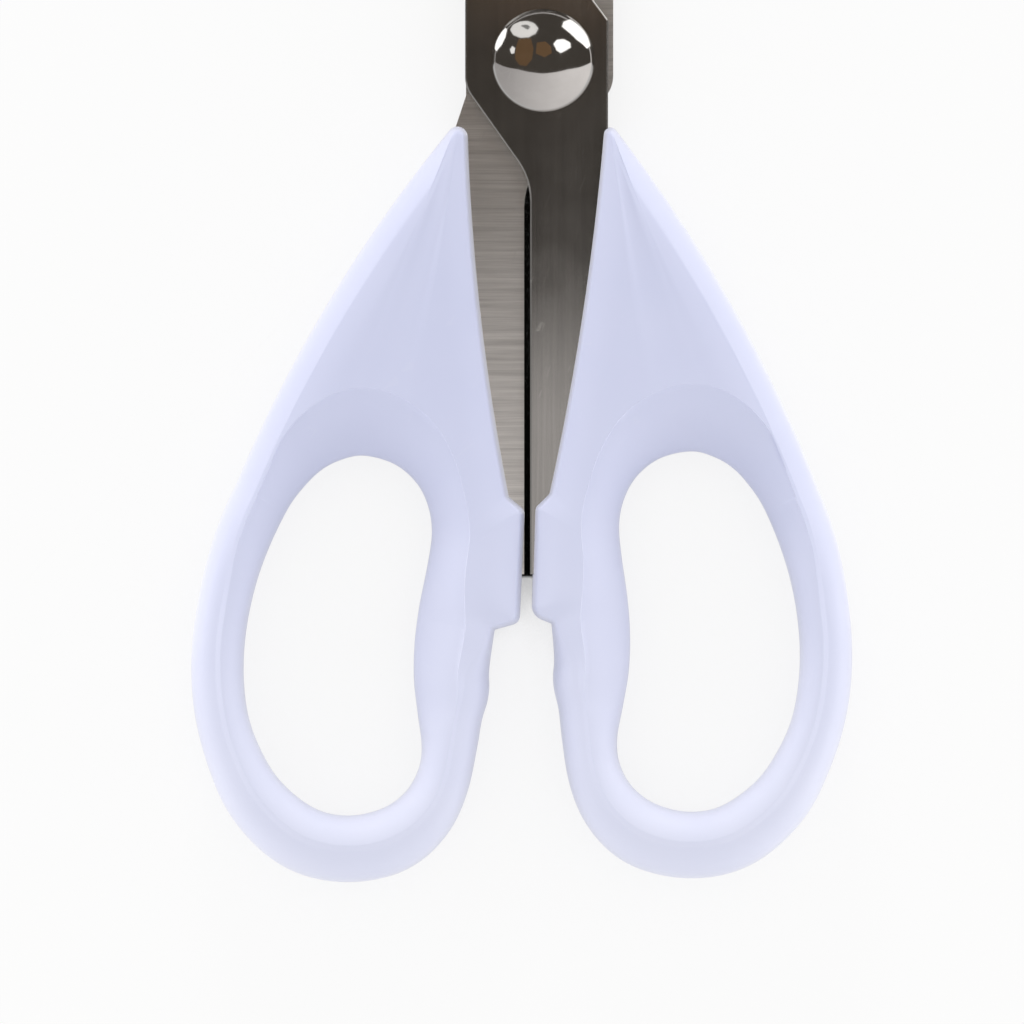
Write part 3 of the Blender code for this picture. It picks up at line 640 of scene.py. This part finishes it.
def handle_rings(half):
    """Rings round the finger hole, from its edge over the top to the rim and back below, each as
    (points, how sharply it is creased)."""
    guides, shares = handle_guides(half)
    hole, crest, ridge, rim = guides
    dish = ease(DISH_PLACE_SHARES, DISH_WEIGHT_SHARES, shares)
    bevel = ease(BEVEL_PLACE_SHARES, BEVEL_WEIGHT_SHARES, shares)
    rise = (HANDLE_TOP - HANDLE_BOTTOM) / 2
    across = crest - ridge
    width = np.linalg.norm(across, axis=1)
    square = np.maximum(-np.sum(across * outward(rim), axis=1) / width, CROWN_SQUARE_SHARE)
    crown = np.minimum(CROWN_WIDTH / square, CROWN_ROOM_SHARE * width)
    drops = INNER_CROWN_DROP + (FLANK_CROWN_DROP - INNER_CROWN_DROP) * bevel
    level = rise - crown_drop(crest, ridge, drops)
    ridge_rise = rise - crown_drop(ridge, ridge, drops)

    sections = []
    for out, height in reversed(quarter(SCOOP_RINGS)):
        lowered = height * (1 - DISH_SLOPE_SHARE * out * dish)
        sections.append((crest + (hole - crest) * out, level * lowered, 0))
    step = crest + (hole - crest) * CREASE_STEP_SHARE
    sections += [(step, level - CREASE_STEP_DROP * dish, dish), (crest, level, dish)]
    for share in reversed(CROWN_SHARES):
        spots = ridge + across * (share * crown / width)[:, None]
        sections.append((spots, rise - crown_drop(spots, ridge, drops), 0))
    sections.append((ridge, ridge_rise, 0))
    for rounded, flat in zip(quarter(FLANK_RINGS), BEVEL_SHARES):
        out = rounded[0] + (flat[0] - rounded[0]) * bevel
        height = rounded[1] + (flat[1] - rounded[1]) * bevel
        sections.append((ridge + (rim - ridge) * out[:, None], ridge_rise * height, 0))

    upper = [(ring_at(half, points, height), crease) for points, height, crease in sections]
    lower = [(ring_at(half, points, -height), crease) for points, height, crease in sections]
    return [(ring_at(half, hole, 0), 0), *upper, (ring_at(half, rim, 0), 0), *lower[::-1]]


def tang_seat_outline(half):
    """What the tang takes out of the handle, open towards the other half and the pivot."""
    corner, root = shoulder_corner(half), nub_root(half)
    upper = corner + (root - corner) * SEAT_TOP_DOWN / np.linalg.norm(root - corner)
    depth = half.seat_depth + MOULD_GAP
    upper, lower = place(half, [upper + (depth, 0), root + (depth, 0)])
    free = half.side * (half.tang_edge - MOULD_GAP)
    heel = half.side * (half.heel_out + MOULD_GAP)
    end = -(TANG_LENGTH + MOULD_GAP)
    return [
        (free, end), (lower[0], end), tuple(lower), tuple(upper), (heel, -half.heel_down),
        (heel, 0), (free, 0),
    ]


def model_seat_cutter(half):
    """A flat block of the seat's outline, to cut the tang's seat out of the handle."""
    bottom, top = half.tang_bottom - MOULD_GAP, half.tang_top + MOULD_GAP
    cutter = start_ring("seat_cutter", raised(tang_seat_outline(half), bottom))
    bpy.ops.mesh.edge_face_add()
    bpy.ops.mesh.extrude_region_move(TRANSFORM_OT_translate={"value": (0, 0, top - bottom)})
    return leave_edit(cutter)


def model_handle(half, name):
    """The moulded finger loop: rings extruded round the hole, subdivided, with the tang's seat."""
    first, *others = handle_rings(half)
    handle = start_ring(name, first[0])
    for spots, creases in (*others, first):
        extrude_ring(handle, spots)
        crease_ring(handle, creases)
    bpy.ops.mesh.select_all(action="SELECT")
    bpy.ops.mesh.remove_doubles(threshold=MERGE_DISTANCE)
    leave_edit(handle)
    settle(handle)
    apply_modifier(handle, "SUBSURF", levels=1, render_levels=1)
    cutter = model_seat_cutter(half)
    settle(cutter)
    apply_modifier(handle, "BOOLEAN", operation="DIFFERENCE", solver="EXACT", object=cutter)
    bpy.data.objects.remove(cutter, do_unlink=True)
    smooth(handle, HANDLE_SHARP_ANGLE)
    return handle


def model_cap():
    """The pressed dome: a sphere cut off at its rim, with a wall inwards and a rounded rim."""
    deselect_all()
    bpy.ops.mesh.primitive_uv_sphere_add(
        segments=CAP_SEGMENTS, ring_count=CAP_RINGS, radius=CAP_SPHERE_RADIUS,
        location=(0, 0, CAP_TOP - CAP_SPHERE_RADIUS),
    )
    cap = bpy.context.object
    cap.name = "cap_dome"
    settle(cap)
    edit_mesh(cap)
    bpy.ops.mesh.select_all(action="SELECT")
    bpy.ops.mesh.bisect(plane_co=(0, 0, CAP_BOTTOM), plane_no=(0, 0, 1), clear_inner=True)
    leave_edit(cap)
    apply_modifier(cap, "SOLIDIFY", thickness=CAP_WALL, offset=-1, use_even_offset=True)
    apply_modifier(cap, "BEVEL", width=CAP_RIM_ROUND, segments=CAP_RIM_STEPS, limit_method="ANGLE")
    smooth(cap, ROUND_SHARP_ANGLE)
    return cap


def model_pin():
    """The pin: a disc head with a stem extruded up into the bush, all its edges rounded."""
    deselect_all()
    bpy.ops.mesh.primitive_cylinder_add(
        vertices=PIN_SEGMENTS, radius=PIN_RADIUS, depth=PIN_HEAD_THICKNESS,
        location=(0, 0, PIN_HEAD_THICKNESS / 2),
    )
    pin = bpy.context.object
    pin.name = "pin_with_head"
    settle(pin)
    bm = edit_mesh(pin)
    for face in bm.faces:
        face.select = face.normal.z > 0.5
    bm.select_flush_mode()
    bmesh.update_edit_mesh(pin.data)
    bpy.ops.mesh.inset(thickness=PIN_RADIUS - PIN_STEM_RADIUS)
    bpy.ops.mesh.extrude_region_move(
        TRANSFORM_OT_translate={"value": (0, 0, PIN_TOP - PIN_HEAD_THICKNESS)}
    )
    leave_edit(pin)
    apply_modifier(pin, "BEVEL", width=PIN_ROUND, segments=PIN_ROUND_STEPS, limit_method="ANGLE")
    smooth(pin, ROUND_SHARP_ANGLE)
    return pin


# Shader nodes and the node groups that the finishes share

def new_group(name, inputs, outputs):
    """A shader node group with named inputs (name, kind, value) and outputs (name, kind)."""
    group = bpy.data.node_groups.new(name, "ShaderNodeTree")
    for label, kind, value in inputs:
        socket = group.interface.new_socket(label, in_out="INPUT", socket_type=kind)
        if value is not None:
            socket.default_value = value
    for label, kind in outputs:
        group.interface.new_socket(label, in_out="OUTPUT", socket_type=kind)
    return group, group.nodes.new("NodeGroupInput"), group.nodes.new("NodeGroupOutput")


def fill(tree, made, inputs):
    """Gives a node's inputs their values, or links them to the sockets given."""
    for label, value in inputs.items():
        if isinstance(value, bpy.types.NodeSocket):
            tree.links.new(value, made.inputs[label])
        else:
            made.inputs[label].default_value = value
    return made


def node(tree, kind, inputs=None, **settings):
    """A new node with its settings and its inputs."""
    made = tree.nodes.new(kind)
    for setting, value in settings.items():
        setattr(made, setting, value)
    return fill(tree, made, inputs or {})


def rgba(tone):
    """A tone as a node takes it, or the socket that brings it."""
    return tone if isinstance(tone, bpy.types.NodeSocket) else (*tone, 1)


def blend_tone(tree, factor, first, second):
    """A tone between two, by a factor; each may be a value or a socket."""
    inputs = {0: factor, 6: rgba(first), 7: rgba(second)}
    return node(tree, "ShaderNodeMix", inputs, data_type="RGBA").outputs[2]


def blend_value(tree, factor, first, second):
    """A value between two, by a factor; each may be a value or a socket."""
    return node(tree, "ShaderNodeMix", {0: factor, 2: first, 3: second}).outputs[0]


def blend_shader(tree, factor, first, second):
    """One shader over another, by a factor."""
    return node(tree, "ShaderNodeMixShader", {0: factor, 1: first, 2: second}).outputs[0]


def calculate(tree, operation, *values):
    """What a math node makes of its values or sockets."""
    return node(tree, "ShaderNodeMath", dict(enumerate(values)), operation=operation).outputs[0]


def value_range(tree, value, span=(0.0, 1.0), result=(0.0, 1.0)):
    """A value moved from its span to the span of the result."""
    made = node(tree, "ShaderNodeMapRange", {
        "Value": value, "From Min": span[0], "From Max": span[1],
        "To Min": result[0], "To Max": result[1],
    })
    return made.outputs["Result"]


def stretched(tree, vector, stretch):
    """A vector stretched along its axes."""
    made = node(tree, "ShaderNodeVectorMath", {0: vector, 1: stretch}, operation="MULTIPLY")
    return made.outputs[0]


def glow(tree, tone, strength):
    """An even glow of a tone."""
    made = node(tree, "ShaderNodeEmission", {"Color": rgba(tone), "Strength": strength})
    return made.outputs[0]


def build_cloud_group():
    """Slow uneven tone over a surface, from 0 to 1."""
    group, source, out = new_group(
        "cloudy_tone",
        [("Vector", "NodeSocketVector", None), ("Scale", "NodeSocketFloat", 60.0)],
        [("Tone", "NodeSocketFloat")],
    )
    noise = node(group, "ShaderNodeTexNoise", {
        "Vector": source.outputs["Vector"], "Scale": source.outputs["Scale"],
        "Detail": 3.0, "Roughness": 0.55,
    })
    fill(group, out, {"Tone": value_range(group, noise.outputs["Fac"], CLOUD_SPAN)})
    return group


def build_line_group():
    """Grinding lines: noise drawn out along one way by the stretch, with faint deeper lines."""
    group, source, out = new_group(
        "grinding_lines",
        [("Vector", "NodeSocketVector", None), ("Stretch", "NodeSocketVector", (1.0, 1.0, 1.0))],
        [("Tone", "NodeSocketFloat"), ("Height", "NodeSocketFloat")],
    )
    drawn = stretched(group, source.outputs["Vector"], source.outputs["Stretch"])
    fine = node(group, "ShaderNodeTexNoise", {
        "Vector": drawn, "Scale": 1.0, "Detail": 4.0, "Roughness": 0.7,
    })
    broad = node(group, "ShaderNodeTexNoise", {
        "Vector": drawn, "Scale": 0.23, "Detail": 2.0, "Roughness": 0.5,
    })
    both = calculate(group, "ADD", fine.outputs["Fac"], broad.outputs["Fac"])
    fill(group, out, {"Tone": value_range(group, both, LINE_SPAN), "Height": fine.outputs["Fac"]})
    return group


def build_mark_group():
    """Handling marks: sparse short scratches and specks, as a mask."""
    group, source, out = new_group(
        "handling_marks",
        [("Vector", "NodeSocketVector", None), ("Scale", "NodeSocketFloat", 400.0),
         ("Turn", "NodeSocketFloat", 0.4), ("Amount", "NodeSocketFloat", 0.1)],
        [("Mask", "NodeSocketFloat")],
    )
    turned = node(group, "ShaderNodeVectorRotate", {
        "Vector": source.outputs["Vector"], "Angle": source.outputs["Turn"],
    }, rotation_type="Z_AXIS")
    cells = node(group, "ShaderNodeTexVoronoi", {
        "Vector": stretched(group, turned.outputs[0], MARK_STRETCH),
        "Scale": source.outputs["Scale"],
    }, feature="DISTANCE_TO_EDGE")
    line = value_range(group, cells.outputs["Distance"], (0.0, MARK_WIDTH), (1.0, 0.0))
    patches = node(group, "ShaderNodeTexNoise", {
        "Vector": source.outputs["Vector"], "Scale": MARK_PATCH_SCALE, "Detail": 1.0,
    })
    chosen = calculate(group, "GREATER_THAN", patches.outputs["Fac"], MARK_PATCH_LEVEL)
    shown = calculate(group, "MULTIPLY", line, chosen)
    fill(group, out, {"Mask": calculate(group, "MULTIPLY", shown, source.outputs["Amount"])})
    return group


CLOUD = build_cloud_group()
LINES = build_line_group()
MARKS = build_mark_group()


# Materials

def cloud_over(tree, place_in, scale):
    """The cloudy tone at a place on the surface."""
    made = node(tree, "ShaderNodeGroup", {"Vector": place_in, "Scale": scale}, node_tree=CLOUD)
    return made.outputs["Tone"]


def marks_over(tree, place_in, scale, turn, amount):
    """The mask of the handling marks at a place on the surface."""
    inputs = {"Vector": place_in, "Scale": scale, "Turn": turn, "Amount": amount}
    return node(tree, "ShaderNodeGroup", inputs, node_tree=MARKS).outputs["Mask"]


def new_material(name):
    """A new material, its node tree, its shader, and the place on the object."""
    material = bpy.data.materials.new(name)
    material.use_nodes = True
    tree = material.node_tree
    place_in = node(tree, "ShaderNodeTexCoord").outputs["Object"]
    return material, tree, tree.nodes["Principled BSDF"], place_in


def bump(tree, height, strength, distance):
    """The normal of a surface with this relief."""
    inputs = {"Height": height, "Strength": strength, "Distance": distance}
    return node(tree, "ShaderNodeBump", inputs).outputs["Normal"]


def lavender_plastic():
    """Satin moulded plastic, faintly clouded, grained, and lit paler towards the loops' ends by
    painted light.
    """
    material, tree, shader, place_in = new_material("satin_lavender_plastic")
    cloud = cloud_over(tree, place_in, scale=55.0)
    marks = marks_over(tree, place_in, scale=300.0, turn=0.7, amount=0.1)
    shank = blend_tone(tree, cloud, *PLASTIC_TONES)
    # Painted light: the loops' ends get paler tones, standing in for the brighter light there
    painted_lit_loop_end = blend_tone(tree, cloud, *PAINTED_LIGHT_LOOP_END_TONES)
    parts = node(tree, "ShaderNodeSeparateXYZ", {0: place_in})
    along = value_range(tree, parts.outputs["Y"], PAINTED_LIGHT_RUN)
    base = blend_tone(tree, along, shank, painted_lit_loop_end)
    grain = node(tree, "ShaderNodeTexNoise", {
        "Vector": place_in, "Scale": 2600.0, "Detail": 2.0, "Roughness": 0.6,
    })
    fill(tree, shader, {
        "Base Color": blend_tone(tree, marks, base, PLASTIC_MARK_TONE),
        "Roughness": value_range(tree, cloud, result=PLASTIC_ROUGHNESS),
        "Normal": bump(tree, grain.outputs["Fac"], strength=0.06, distance=0.00005),
        "IOR": 1.49,
        "Sheen Weight": 0.7,
        "Sheen Roughness": 0.5,
        "Sheen Tint": (0.98, 0.98, 1.0, 1),
    })
    return material


def ground_steel(grind):
    """Stainless steel with grinding lines drawn out along one way."""
    material, tree, shader, place_in = new_material(grind.name)
    lines = node(tree, "ShaderNodeGroup", {
        "Vector": place_in, "Stretch": grind.stretch,
    }, node_tree=LINES)
    cloud = cloud_over(tree, place_in, scale=90.0)
    marks = marks_over(tree, place_in, scale=420.0, turn=0.35, amount=0.5)
    tone = blend_tone(tree, lines.outputs["Tone"], *grind.tones)
    greyed = blend_tone(tree, GREY_SHARE, tone, GREY_TONE)
    fill(tree, shader, {
        "Base Color": blend_tone(tree, marks, greyed, STEEL_MARK_TONE),
        "Metallic": 1.0,
        "Roughness": value_range(tree, cloud, result=grind.roughness),
        "Normal": bump(tree, lines.outputs["Height"], strength=grind.relief, distance=0.00002),
    })
    return material


def plain_steel():
    """Turned steel: rings about the pivot's axis."""
    material, tree, shader, place_in = new_material("turned_steel")
    rings = node(tree, "ShaderNodeTexWave", {
        "Vector": place_in, "Scale": 900.0, "Distortion": 1.5, "Detail": 2.0,
    }, wave_type="RINGS", rings_direction="Z").outputs["Fac"]
    marks = marks_over(tree, place_in, scale=420.0, turn=1.1, amount=0.5)
    tone = blend_tone(tree, rings, *TURNED_TONES)
    fill(tree, shader, {
        "Base Color": blend_tone(tree, marks, tone, STEEL_MARK_TONE),
        "Metallic": 1.0,
        "Roughness": value_range(tree, rings, result=TURNED_ROUGHNESS),
        "Normal": bump(tree, rings, strength=0.1, distance=0.00001),
    })
    return material


def polished_steel():
    """Mirror polish with a faint haze of fine scratches."""
    material, tree, shader, place_in = new_material("polished_steel")
    cloud = cloud_over(tree, place_in, scale=260.0)
    marks = marks_over(tree, place_in, scale=700.0, turn=0.9, amount=0.4)
    tone = blend_tone(tree, cloud, *POLISHED_TONES)
    fill(tree, shader, {
        "Base Color": blend_tone(tree, marks, tone, POLISHED_MARK_TONE),
        "Metallic": 1.0,
        "Roughness": value_range(tree, cloud, result=POLISHED_ROUGHNESS),
    })
    return material


def give_finish(obj, material):
    """Makes a material an object's only one."""
    obj.data.materials.clear()
    obj.data.materials.append(material)


# Stage: floor, light and camera

def outside_painted_tang_shadow(tree, place_in, openness):
    """Painted shadow mask: 0 on the floor beside the rear tang while it is closed in, 1 everywhere
    else.
    """
    parts = node(tree, "ShaderNodeSeparateXYZ", {0: place_in})
    sides = []
    for axis, middle, reach in zip("XY", PAINTED_TANG_SHADOW_MIDDLE, PAINTED_TANG_SHADOW_REACH):
        off = calculate(tree, "SUBTRACT", parts.outputs[axis], middle)
        away = calculate(tree, "ABSOLUTE", off)
        sides.append(value_range(tree, away, (reach, reach + PAINTED_TANG_SHADOW_BLUR)))
    outside = calculate(tree, "MAXIMUM", *sides)
    return calculate(tree, "MAXIMUM", outside, value_range(tree, openness, CLOSED_IN_SPAN))


def studio_floor():
    """A pale floor under the handles, seen white by the camera, with painted shade where things are
    near.
    """
    material, tree, shader, place_in = new_material("pale_floor")
    openness = node(tree, "ShaderNodeAmbientOcclusion", {
        "Distance": SHADE_REACH,
    }, samples=SHADE_SAMPLES).outputs["AO"]
    outside_painted_shadow = outside_painted_tang_shadow(tree, place_in, openness)
    pale = blend_tone(tree, cloud_over(tree, place_in, scale=8.0), *FLOOR_TONES)
    fill(tree, shader, {
        # Painted shadow: the floor's tone goes dark beside the rear tang
        "Base Color": blend_tone(tree, outside_painted_shadow, PAINTED_TANG_SHADOW_TONE, pale),
        "Roughness": FLOOR_ROUGHNESS,
        "Specular IOR Level": 0.0,
    })
    # Painted shade: the camera's white glow fades where things near the floor close it in
    white = value_range(tree, openness, WHITE_SPAN, (0.0, WHITE_LEVEL))
    # The painted shadow beside the rear tang takes the white glow away there too
    white = calculate(tree, "MULTIPLY", white, outside_painted_shadow)
    rays = node(tree, "ShaderNodeLightPath").outputs
    share = calculate(tree, "MULTIPLY", rays["Is Camera Ray"], WHITE_SHARE)
    seen = blend_shader(tree, share, shader.outputs[0], glow(tree, WHITE, white))
    glint = glow(tree, WHITE, FLOOR_GLINT)
    both = blend_shader(tree, rays["Is Glossy Ray"], seen, glint)
    fill(tree, tree.nodes["Material Output"], {"Surface": both})
    deselect_all()
    bpy.ops.mesh.primitive_plane_add(size=FLOOR_SIZE, location=(0, 0, HANDLE_BOTTOM))
    floor = bpy.context.object
    floor.name = "floor"
    give_finish(floor, material)


def studio_card(name, corners, tone, strength):
    """A flat card of one tone that only shiny surfaces show: a flag, a cloth or a panel."""
    deselect_all()
    bpy.ops.mesh.primitive_circle_add(vertices=len(corners), fill_type="NGON")
    card = bpy.context.object
    card.name = name
    for vert, corner in zip(card.data.vertices, corners):
        vert.co = corner
    material = bpy.data.materials.new(name)
    material.use_nodes = True
    tree = material.node_tree
    tree.nodes.remove(tree.nodes["Principled BSDF"])
    fill(tree, tree.nodes["Material Output"], {"Surface": glow(tree, tone, strength)})
    give_finish(card, material)
    card.visible_camera = False
    card.visible_diffuse = False
    card.visible_shadow = False


def soft_lamp(name, spot, target, length, height, power):
    """A soft oblong lamp aimed at a target, which nothing shows."""
    lamp = bpy.data.lights.new(name, "AREA")
    lamp.shape = "RECTANGLE"
    lamp.size = length
    lamp.size_y = height
    lamp.color = LAMP_TONE
    lamp.energy = power
    obj = bpy.data.objects.new(name, lamp)
    bpy.context.scene.collection.objects.link(obj)
    obj.location = spot
    obj.rotation_euler = (Vector(target) - Vector(spot)).to_track_quat("-Z", "Y").to_euler()
    obj.visible_camera = False
    obj.visible_glossy = False


def light_room():
    """A pale room with its lamps: white to the camera, and darker on the left in shiny things."""
    world = bpy.data.worlds.new("studio")
    bpy.context.scene.world = world
    world.use_nodes = True
    tree = world.node_tree
    heading = node(tree, "ShaderNodeTexCoord").outputs["Generated"]
    parts = node(tree, "ShaderNodeSeparateXYZ", {0: heading})
    shown = value_range(tree, parts.outputs["X"], (-1.0, 1.0), (SKY_LEFT, SKY_RIGHT))
    rays = node(tree, "ShaderNodeLightPath").outputs
    level = blend_value(tree, rays["Is Glossy Ray"], SKY_LEVEL, shown)
    fill(tree, tree.nodes["Background"], {
        "Color": blend_tone(tree, rays["Is Glossy Ray"], WHITE, SKY_TONE),
        "Strength": blend_value(tree, rays["Is Camera Ray"], level, 1.0),
    })
    for name, spot, length, height, power in LAMPS:
        soft_lamp(name, spot, (*VIEW_CENTRE, 0), length, height, power)


def mirrored(spot, away):
    """What the cap mirrors, this far away, seen from straight above at a place in millimetres."""
    x, y = spot[0] / 1000, spot[1] / 1000
    up = Vector((x, y, math.sqrt(CAP_SPHERE_RADIUS**2 - x**2 - y**2))) / CAP_SPHERE_RADIUS
    way = 2 * up.z * up - Vector((0, 0, 1))
    return Vector((0, 0, CAP_TOP - CAP_SPHERE_RADIUS)) + up * CAP_SPHERE_RADIUS + way * away


def hang_cards():
    """What the steel shows: a dark flag and cloth beyond the pivot, and panels before them."""
    edge = [(x * FLAG_LEVEL, y * FLAG_LEVEL, FLAG_LEVEL) for x, y in FLAG_EDGE_SHARES]
    edge = [(-FLAG_REACH, edge[0][1], FLAG_LEVEL), *edge, (FLAG_REACH, edge[-1][1], FLAG_LEVEL)]
    far = [(FLAG_REACH, FLAG_REACH, FLAG_LEVEL), (-FLAG_REACH, FLAG_REACH, FLAG_LEVEL)]
    studio_card("dark_flag", edge + far, FLAG_TONE, strength=1.0)
    low = HANDLE_BOTTOM + CLOTH_LIFT
    cloth = [(-FLAG_REACH, CLOTH_EDGE, low), (FLAG_REACH, CLOTH_EDGE, low)]
    cloth += [(FLAG_REACH, FLAG_REACH, low), (-FLAG_REACH, FLAG_REACH, low)]
    studio_card("dark_cloth", cloth, FLAG_TONE, strength=1.0)
    for index, (tone, strength, outline) in enumerate(CAP_PANELS):
        away = PANEL_DISTANCE - PANEL_STEP * index
        corners = [mirrored(spot, away) for spot in outline]
        studio_card(f"lit_panel_{index + 1}", corners, tone, strength)


def aim_camera():
    """The camera, straight above, wide enough for the part of the scissors that it frames."""
    camera = bpy.data.cameras.new("camera")
    camera.sensor_width = SENSOR_WIDTH
    camera.lens = SENSOR_WIDTH * CAMERA_DISTANCE / VIEW_WIDTH
    camera.clip_start, camera.clip_end = CAMERA_CLIP
    obj = bpy.data.objects.new("camera", camera)
    bpy.context.scene.collection.objects.link(obj)
    obj.location = (*VIEW_CENTRE, VIEW_LEVEL + CAMERA_DISTANCE)
    bpy.context.scene.camera = obj


def dress(obj, body, node_name, material):
    """Fits a modelled piece in place of a node."""
    give_finish(obj, material)
    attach(obj, body)
    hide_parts(node_name)


def main():
    """Models and dresses the pieces, then sets the stage round them."""
    bpy.context.scene.view_settings.view_transform = "Standard"
    plastic = lavender_plastic()
    cross = ground_steel(CROSS_GROUND)
    along = ground_steel(LONG_GROUND)
    turned = plain_steel()
    polished = polished_steel()
    for half, name, node_name in (
        (REAR, "rear_loop", "rear_handle"), (FRONT, "front_loop", "front_handle"),
    ):
        loop = model_handle(half, name)
        loop.visible_glossy = False
        dress(loop, half.body, node_name, plastic)
    dress(model_cap(), "rear_half", "pivot_cap", polished)
    dress(model_pin(), "rear_half", "pivot_pin", turned)
    give_finish(NODES["rear_blade"], cross)
    give_finish(NODES["front_blade"], along)
    give_finish(NODES["pivot_bush"], turned)
    give_finish(NODES["pivot_washer"], turned)
    studio_floor()
    light_room()
    hang_cards()
    aim_camera()


main()
